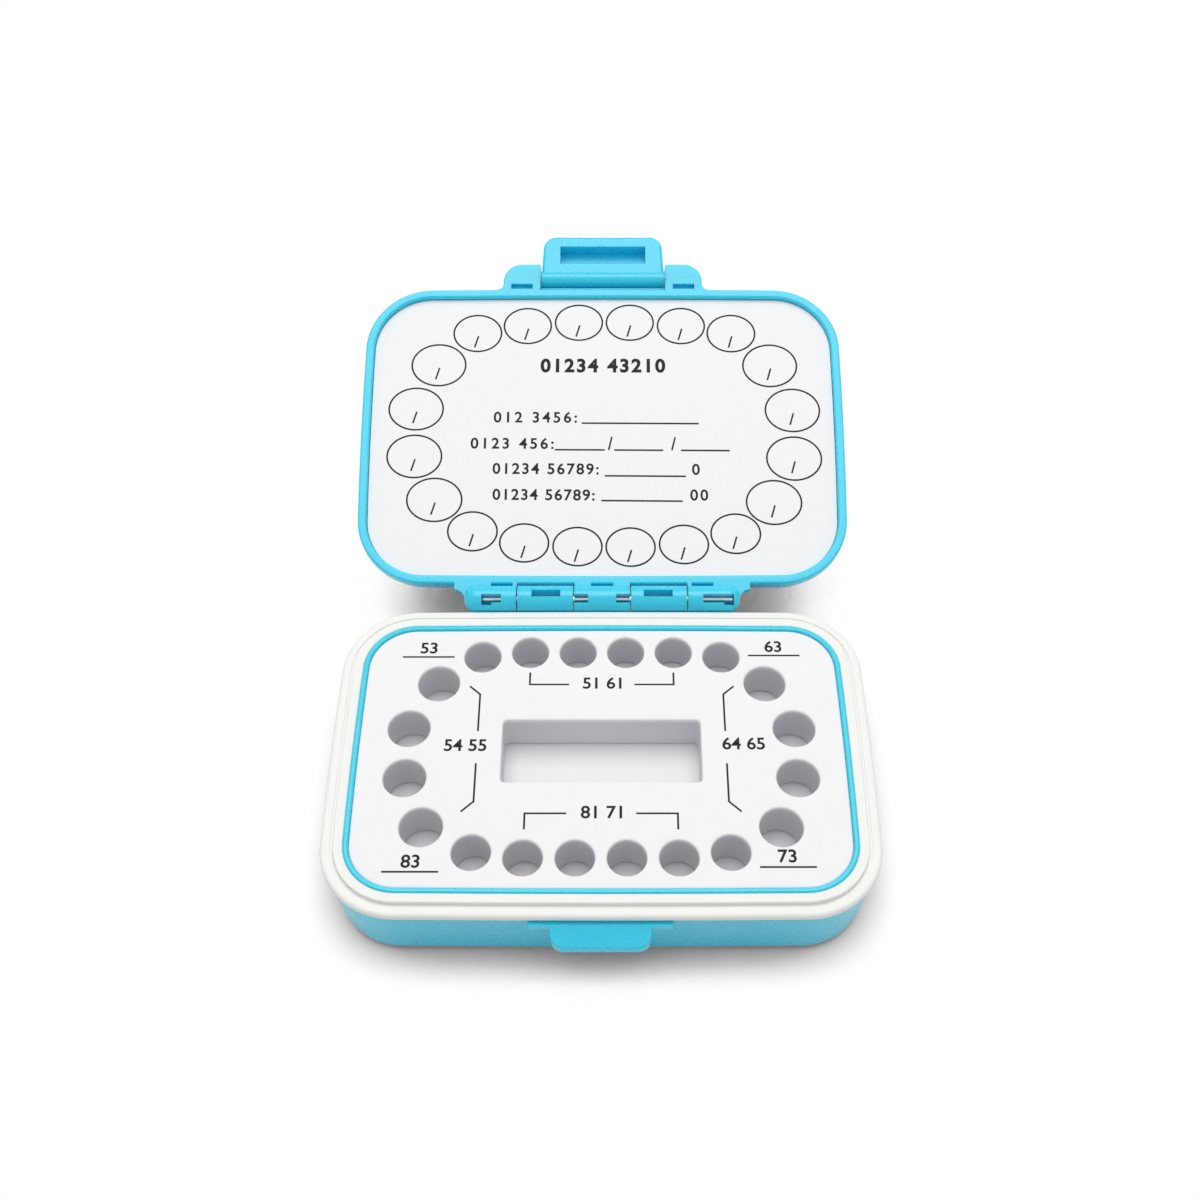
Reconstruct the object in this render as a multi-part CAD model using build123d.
from build123d import *
import math
import os

# A small hinged box for milk teeth, standing open on its flat base. All sizes are in millimetres.
# The origin is the middle of the base's underside. X runs along the hinge, Y towards it and Z up.

# The box in plan, measured over its seal
box_width = 86.4
box_depth = 57.1
corner_radius = 12.2
long_side_bow = 0.3
short_side_bow = 0.5

# Base shell, one moulding with an upstand ring that the lid drops over
ring_top = 16.0
ring_inset = 3.6
ring_wall = 0.85
ring_rounding = 0.3
ledge_drop = 2.3
wall_top_inset = 0.3
wall_foot_inset = 1.7
foot_rounding = 3.0
floor_thickness = 2.0

# Rubber seal on the ledge, with a bead outside, a groove and a flat band inside
bead_width = 1.5
bead_drop = 0.76
bead_rounding = 0.65
groove_width = 0.55
groove_drop = 1.0
band_drop = 0.15
band_rounding = 0.2
tongue_inset = 2.3
tongue_width = 0.8
tongue_depth = 1.3

# Foam tray with a hole for each tooth, on a plain foam sheet. Each hole's place is a pair of
# shares of the tray's half width and half depth.
tray_drop = 0.35
tray_thickness = 7.3
foam_fit = 0.1
foam_seam = 0.1
front_tooth_bore = 6.1
molar_bore = 6.8
front_row_shift = 0.35
molar_row_shift = -0.15
window_length = 31.8
window_width = 11.6
window_shift = 0.3
window_corner = 0.8
front_tooth_shares = [(0.102, 0.795), (0.307, 0.795), (0.511, 0.757)]
molar_shares = [(0.69, 0.555), (0.799, 0.191), (0.799, -0.191), (0.716, -0.555)]

# Lid shell, drawn closed and then swung open about the hinge
seam_drop = 0.64
lid_inset = 0.4
lid_wall = 1.5
lid_top = 1.3
lid_height = 8.5
lid_band = 2.0
lid_shoulder_inset = 2.0
lid_rounding = 3.6
rim_rounding = 0.35
card_recess = 1.0
card_thickness = 0.5

# Hinge, with two knuckles on the base and three lugs on the lid
open_angle = 159.0
hinge_setback = 2.75
barrel_radius = 2.3
hinge_pin_radius = 0.6
running_clearance = 0.06
knuckle_inner = 4.95
knuckle_outer = 14.45
knuckle_gap = 0.2
knuckle_arm_drop = 5.0
knuckle_arm_cover = 1.2
arm_angle = 45.0
knuckle_slot_from = 7.1
knuckle_slot_to = 12.0
knuckle_slot_front = 1.0
knuckle_slot_back = 0.28
lug_end = 23.6
lug_end_rounding = 2.0
lug_flare = 1.8
lug_web = 1.7
lug_slot_from = 15.4
lug_slot_to = 19.1
centre_slot_half = 1.9
lug_slot_height = 0.75
lug_slot_depth = 1.2

# Openings in the lugs that show the hinge pin, and the pin's two ends
pin_left = 20.4
pin_right = 22.3
centre_notch_from = 2.4
outer_notch_from = 17.2
notch_front = 0.25
notch_back = 1.2
notch_end_room = 0.15
pin_pocket_length = 1.7
pin_pocket_back = 1.6

# Latch flap between two ears on the lid's front
latch_setback = 2.55
latch_rise = 1.2
latch_barrel_radius = 1.45
latch_pin_radius = 0.5
latch_pin_half = 16.8
flap_half = 11.2
flap_narrowing = 0.45
flap_length = 8.25
flap_thickness = 3.6
flap_corner = 2.4
flap_edge = 0.6
pocket_half = 7.8
pocket_from = 2.86
pocket_to = 6.17
pocket_depth = 2.75
pocket_edge = 0.4
ear_gap = 0.2
ear_side_half = 18.1
ear_front = 2.55
ear_rounding = 3.4
ear_edge = 0.3
ear_root_rounding = 1.2
ear_slot_from = 12.8
ear_slot_to = 16.7
ear_slot_height = 1.1
ear_slot_depth = 1.0

# Catch tab on the base's front, which the flap's pocket snaps over
catch_half = 7.6
catch_reach = 3.65
catch_root_drop = 0.25
catch_tip_drop = 1.75
catch_lip_height = 1.35
catch_root_height = 4.4
catch_corner = 2.0
catch_edge = 0.4
shoulder_half = 10.9
shoulder_reach = 0.85
shoulder_height = 1.1
shoulder_rounding = 0.5

# How far a piece runs into the wall that carries it, and how far a cut runs past the surface
root_overlap = 0.8
overrun = 1.0

# Levels and places that follow from the sizes above
ledge_level = ring_top - ledge_drop
seam_level = ring_top - seam_drop
half_depth = box_depth / 2
cavity_inset = ring_inset + ring_wall
tray_half_x = box_width / 2 - cavity_inset
tray_half_y = half_depth - cavity_inset
tray_top = ring_top - tray_drop
lid_rear = half_depth - lid_inset
hinge_y = lid_rear + hinge_setback
hinge_z = seam_level
lid_front = -lid_rear
latch_y = lid_front - latch_setback
latch_z = seam_level + latch_rise


def bow(half_chord, full_half_chord, full_bow, inset):
    """Rise of a bowed side drawn in by inset: the arc keeps its centre."""
    radius = (full_half_chord**2 + full_bow**2) / (2 * full_bow) - inset
    return radius - math.sqrt(radius**2 - half_chord**2)


def outline(inset, level):
    """The box's plan as a face at a level: four bowed sides and round corners, drawn in by inset."""
    reach_x = box_width / 2 - inset
    reach_y = half_depth - inset
    corner_x = reach_x - bow(reach_y, half_depth, short_side_bow, inset)
    corner_y = reach_y - bow(reach_x, box_width / 2, long_side_bow, inset)
    rear = ThreePointArc((corner_x, corner_y), (0, reach_y), (-corner_x, corner_y))
    left = ThreePointArc(rear @ 1, (-reach_x, 0), (-corner_x, -corner_y))
    front = ThreePointArc(left @ 1, (0, -reach_y), (corner_x, -corner_y))
    right = ThreePointArc(front @ 1, (reach_x, 0), rear @ 0)
    plan = make_face(Wire([rear, left, front, right]))
    return Pos(0, 0, level) * fillet(plan.vertices(), corner_radius - inset)


def hoop(outer_inset, inner_inset, low, high):
    """An upright band that follows the outline between two insets."""
    return extrude(outline(outer_inset, low) - outline(inner_inset, low), high - low)


def leaning(low_inset, low, high_inset, high):
    """A solid on the outline whose walls lean from one inset to another between two levels."""
    return loft([outline(low_inset, low), outline(high_inset, high)], ruled=True)


def rod(radius, x_from, x_to, y, z):
    """A round bar along X."""
    return Pos((x_from + x_to) / 2, y, z) * Rot(0, 90, 0) * Cylinder(radius, x_to - x_from)


def block(x_from, x_to, y_from, y_to, z_from, z_to):
    """A square-edged block between two corners."""
    middle = Pos((x_from + x_to) / 2, (y_from + y_to) / 2, (z_from + z_to) / 2)
    return middle * Box(x_to - x_from, y_to - y_from, z_to - z_from)


def side_profile(points, x_from, x_to):
    """A plate along X whose side view is a polygon of (y, z) points."""
    side = Plane.YZ.offset(x_from) * Polygon(*points, align=None)
    return extrude(side, x_to - x_from, dir=(1, 0, 0))


def both_sides(solid):
    """A solid and its mirror image on the other side of the middle plane."""
    return solid + mirror(solid, Plane.YZ)


def knuckles():
    """The base's two hinge barrels on their arms, each with a moulder's slot down to the bore."""
    wall_y = half_depth - wall_top_inset
    arm_top = ledge_level - foam_fit
    turn = math.radians(arm_angle)
    wall_lean = (wall_foot_inset - wall_top_inset) / ledge_level
    arm = [
        (wall_y - root_overlap, arm_top),
        (hinge_y - knuckle_arm_cover, arm_top),
        (hinge_y, hinge_z),
        (hinge_y + barrel_radius * math.sin(turn), hinge_z - barrel_radius * math.cos(turn)),
        (wall_y - root_overlap - knuckle_arm_drop * wall_lean, arm_top - knuckle_arm_drop),
    ]
    knuckle = rod(barrel_radius, knuckle_inner, knuckle_outer, hinge_y, hinge_z)
    knuckle += side_profile(arm, knuckle_inner, knuckle_outer)
    knuckle -= block(
        knuckle_slot_from,
        knuckle_slot_to,
        hinge_y - knuckle_slot_front,
        hinge_y + knuckle_slot_back,
        hinge_z,
        hinge_z + barrel_radius + overrun,
    )
    return both_sides(knuckle)


def shoulder_plate(root_y, shoulder_y, tip_y, low, high):
    """The catch's two shoulders as one plate, with a fairing where each meets the tab."""
    plan = Pos(0, (root_y + shoulder_y) / 2) * Rectangle(2 * shoulder_half, root_y - shoulder_y)
    plan += Pos(0, (root_y + tip_y) / 2) * Rectangle(2 * catch_half, root_y - tip_y)
    plan = fillet(plan.vertices().group_by(Axis.Y)[1], shoulder_rounding)
    plate = extrude(Pos(0, 0, low) * plan, high - low)
    fairing_end = shoulder_y - shoulder_rounding
    return plate - block(-catch_half, catch_half, tip_y, fairing_end, low, high)


def catch():
    """The front tab: a ramp out to a rounded lip, faired into low shoulders under the seal."""
    wall_y = -(half_depth - wall_top_inset)
    tip_y = wall_y - catch_reach
    root_y = wall_y + root_overlap
    shoulder_y = wall_y - shoulder_reach
    top = ledge_level - catch_root_drop
    lip_top = ledge_level - catch_tip_drop
    ramp = [
        (root_y, top),
        (shoulder_y, top),
        (tip_y, lip_top),
        (tip_y, lip_top - catch_lip_height),
        (shoulder_y, lip_top - catch_lip_height),
        (root_y, top - catch_root_height),
    ]
    tab = side_profile(ramp, -catch_half, catch_half)
    tip_corners = tab.edges().filter_by(Axis.Z).group_by(Axis.Y)[0]
    tab = fillet(tip_corners, catch_corner)
    plate = shoulder_plate(root_y, shoulder_y, tip_y, top - shoulder_height, top)
    tab += plate & side_profile(ramp, -shoulder_half, shoulder_half)
    slope = tab.faces().filter_by_position(Axis.Y, tip_y, shoulder_y).sort_by(SortBy.AREA)[-1]
    return fillet(slope.edges().sort_by(Axis.Y)[:-1], catch_edge)


def base_shell():
    """The blue tray of the box, with its ring, seal channel, knuckles and catch."""
    body = leaning(wall_foot_inset, 0, wall_top_inset, ledge_level)
    body = fillet(body.faces().sort_by(Axis.Z)[0].edges(), foot_rounding)
    ring = hoop(ring_inset, cavity_inset, floor_thickness, ring_top)
    body += fillet(ring.faces().sort_by(Axis.Z)[-1].edges(), ring_rounding)
    body -= extrude(outline(cavity_inset, floor_thickness), ring_top)
    body += knuckles() + catch()
    tongue_to = tongue_inset + tongue_width
    body -= hoop(tongue_inset, tongue_to, ledge_level - tongue_depth, ledge_level + overrun)
    return body - rod(hinge_pin_radius, -box_width / 2, box_width / 2, hinge_y, hinge_z)


def rim_gasket():
    """The white seal: a rounded bead, a groove and a flat band, held by a tongue in the ledge."""
    bead = hoop(0, bead_width, ledge_level, ring_top - bead_drop)
    flats = bead.faces().sort_by(Axis.Z)
    outer_rims = flats[0].outer_wire().edges() + flats[-1].outer_wire().edges()
    bead = fillet(outer_rims, bead_rounding)
    groove_to = bead_width + groove_width
    seal = bead + hoop(bead_width, groove_to, ledge_level, ring_top - groove_drop)
    band = hoop(groove_to, ring_inset, ledge_level, ring_top - band_drop)
    seal += fillet(band.faces().sort_by(Axis.Z)[-1].edges(), band_rounding)
    tongue_to = tongue_inset + tongue_width
    return seal + hoop(tongue_inset, tongue_to, ledge_level - tongue_depth, ledge_level)


def tooth_places():
    """Centre and bore of all twenty tooth holes, mirrored from the right half of the tray."""
    half = []
    for share_x, share_y in front_tooth_shares:
        half.append((share_x, share_y, front_row_shift, front_tooth_bore))
        half.append((share_x, -share_y, front_row_shift, front_tooth_bore))
    for share_x, share_y in molar_shares:
        half.append((share_x, share_y, molar_row_shift, molar_bore))
    places = []
    for share_x, share_y, shift, bore in half:
        y = share_y * tray_half_y + shift
        places.append((share_x * tray_half_x, y, bore))
        places.append((-share_x * tray_half_x, y, bore))
    return places


def tooth_tray_foam():
    """The die-cut foam tray: twenty round holes and one window, all cut right through."""
    low = tray_top - tray_thickness
    tray = outline(cavity_inset + foam_fit, low)
    for x, y, bore in tooth_places():
        tray -= Pos(x, y, low) * Circle(bore / 2)
    tray -= Pos(0, window_shift, low) * RectangleRounded(window_length, window_width, window_corner)
    return extrude(tray, tray_thickness)


def tray_floor_foam():
    """The plain foam sheet under the tray, which is the floor of every hole."""
    high = tray_top - tray_thickness - foam_seam
    return extrude(outline(cavity_inset + foam_fit, floor_thickness), high - floor_thickness)


def dome(inset, low, high, shoulder_inset, rounding):
    """A closed lid form: an upright band, then walls that lean in to a rounded top."""
    band_top = seam_level + lid_band
    band = extrude(outline(inset, low), band_top - low)
    crown = leaning(inset, band_top, shoulder_inset, high)
    return band + fillet(crown.faces().sort_by(Axis.Z)[-1].edges(), rounding)


def lid_hollow(gap, low):
    """The space inside the lid above a level, drawn in by a gap."""
    return dome(
        lid_inset + lid_wall + gap,
        low,
        seam_level + lid_height - lid_top - gap,
        lid_shoulder_inset + lid_wall + gap,
        lid_rounding - lid_top,
    )


def outer_lug():
    """One outer hinge lug: a web that flares out to the lid's rim, and a barrel with a round end."""
    inner = knuckle_outer + knuckle_gap
    barrel = rod(barrel_radius, inner, lug_end, hinge_y, hinge_z)
    barrel = fillet(barrel.edges().sort_by(Axis.X)[-1], lug_end_rounding)
    web_front = lid_rear - root_overlap
    flare = Line((inner, web_front), (inner, hinge_y))
    flare += Line((inner, hinge_y), (lug_end, hinge_y))
    sweep = JernArc((lug_end, hinge_y), (0, -1), lug_flare, 90)
    flare += sweep + Polyline(sweep @ 1, ((sweep @ 1).X, web_front), (inner, web_front))
    return barrel + extrude(Pos(0, 0, seam_level) * make_face(flare), lug_web)


def pin_notch(x_from, x_to, back):
    """The gap in a lug's underside that lets the pin be seen."""
    return block(
        x_from,
        x_to,
        hinge_y - notch_front,
        hinge_y + back,
        hinge_z - barrel_radius - overrun,
        hinge_z + hinge_pin_radius + running_clearance,
    )


def lug_slot(x_from, x_to):
    """A moulder's slot where a lug meets the rim."""
    return block(
        x_from,
        x_to,
        lid_rear - lug_slot_height / 2,
        lid_rear + lug_slot_height / 2,
        seam_level - overrun,
        seam_level + lug_slot_depth,
    )


def lugs():
    """The lid's three hinge lugs with the pin's bore, the notches and the slots."""
    centre = knuckle_inner - knuckle_gap
    middle = rod(barrel_radius, -centre, centre, hinge_y, hinge_z)
    middle += block(-centre, centre, lid_rear - root_overlap, hinge_y, seam_level, seam_level + lug_web)
    lug = middle + both_sides(outer_lug())
    lug -= both_sides(pin_notch(centre_notch_from, centre + overrun, notch_back))
    lug -= both_sides(lug_slot(lug_slot_from, lug_slot_to))
    lug -= lug_slot(-centre_slot_half, centre_slot_half)
    for side, end in ((-1, pin_left), (1, pin_right)):
        stop = end + notch_end_room
        lug -= pin_notch(*sorted((side * outer_notch_from, side * stop)), notch_back)
        pocket_start = side * (stop - pin_pocket_length)
        lug -= pin_notch(*sorted((pocket_start, side * stop)), pin_pocket_back)
    bore = hinge_pin_radius + running_clearance
    return lug - rod(bore, -pin_left - notch_end_room, pin_right + notch_end_room, hinge_y, hinge_z)


def ear():
    """One quarter-round ear that carries an end of the latch pin."""
    inner = flap_half + ear_gap
    tip = latch_y - ear_front
    root = lid_front + root_overlap
    top_end = ear_side_half - ear_rounding
    crown = JernArc((top_end, tip), (1, 0), ear_rounding, 90)
    side = Line(crown @ 1, (ear_side_half, lid_front - ear_root_rounding))
    fairing = JernArc(side @ 1, (0, 1), ear_root_rounding, -90)
    back = Polyline(fairing @ 1, ((fairing @ 1).X, root), (inner, root), (inner, tip), (top_end, tip))
    profile = crown + side + fairing + back
    height = latch_rise + latch_barrel_radius
    plate = extrude(Pos(0, 0, seam_level) * make_face(profile), height)
    flats = plate.faces().filter_by(Axis.Z)
    rims = [edge for edge in flats.edges() if edge.center().Y < lid_front - ear_root_rounding]
    plate = fillet([edge for edge in rims if edge.center().X > inner], ear_edge)
    return plate - block(
        ear_slot_from,
        ear_slot_to,
        lid_front - ear_slot_height,
        lid_front,
        seam_level - overrun,
        seam_level + ear_slot_depth,
    )


def lid_shell():
    """The lid in its closed place: a rounded cup with lugs behind and ears in front."""
    crown_level = seam_level + lid_height
    shell = dome(lid_inset, seam_level, crown_level, lid_shoulder_inset, lid_rounding)
    shell -= lid_hollow(0, seam_level)
    shell = fillet(shell.faces().sort_by(Axis.Z)[0].edges(), rim_rounding)
    shell += lugs() + both_sides(ear())
    return shell - rod(latch_pin_radius, -latch_pin_half, latch_pin_half, latch_y, latch_z)


def record_card():
    """The printed card, a little below the lid's rim."""
    inset = lid_inset + lid_wall + foam_fit
    return extrude(outline(inset, seam_level + card_recess), card_thickness)


def lid_foam_pad():
    """The foam that fills the lid behind the card."""
    low = seam_level + card_recess + card_thickness + foam_seam
    return lid_hollow(foam_fit, low)


def latch_flap():
    """The flap, drawn level with the closed lid, with its barrel and the pocket for the catch."""
    inner = latch_z - latch_rise
    tip_half = flap_half - flap_narrowing
    tip = latch_y - flap_length
    corners = [(-flap_half, latch_y), (-tip_half, tip), (tip_half, tip), (flap_half, latch_y)]
    plan = Polygon(*corners, align=None)
    plan = fillet(plan.vertices().group_by(Axis.Y)[0], flap_corner)
    flap = extrude(Pos(0, 0, inner) * plan, flap_thickness)
    rims = flap.faces().filter_by(Axis.Z).edges()
    flap = fillet([edge for edge in rims if edge.center().Y < latch_y - overrun], flap_edge)
    flap -= block(
        -flap_half,
        flap_half,
        latch_y - latch_barrel_radius,
        latch_y,
        latch_z + latch_barrel_radius,
        inner + flap_thickness,
    )
    flap += rod(latch_barrel_radius, -flap_half, flap_half, latch_y, latch_z)
    flap -= block(
        -pocket_half,
        pocket_half,
        latch_y - pocket_to,
        latch_y - pocket_from,
        inner,
        inner + pocket_depth,
    )
    near_edge = flap.faces().sort_by(Axis.Z)[0].inner_wires()[0].edges().sort_by(Axis.Y)[-1]
    flap = fillet(near_edge, pocket_edge)
    return flap - rod(latch_pin_radius + running_clearance, -flap_half, flap_half, latch_y, latch_z)


def opened(solid):
    """A piece of the lid, swung from its closed place to the open stop."""
    return Pos(0, hinge_y, hinge_z) * Rot(-open_angle, 0, 0) * Pos(0, -hinge_y, -hinge_z) * solid


pieces = {
    "base_shell": base_shell(),
    "rim_gasket": rim_gasket(),
    "tooth_tray_foam": tooth_tray_foam(),
    "tray_floor_foam": tray_floor_foam(),
    "hinge_pin": rod(hinge_pin_radius, -pin_left, pin_right, hinge_y, hinge_z),
    "lid_shell": opened(lid_shell()),
    "lid_foam_pad": opened(lid_foam_pad()),
    "record_card": opened(record_card()),
    "latch_pin": opened(rod(latch_pin_radius, -latch_pin_half, latch_pin_half, latch_y, latch_z)),
    "latch_flap": opened(latch_flap()),
}

os.makedirs("parts", exist_ok=True)
for name, piece in pieces.items():
    export_step(piece, f"parts/{name}.step")
    print(name, round(piece.volume, 1))
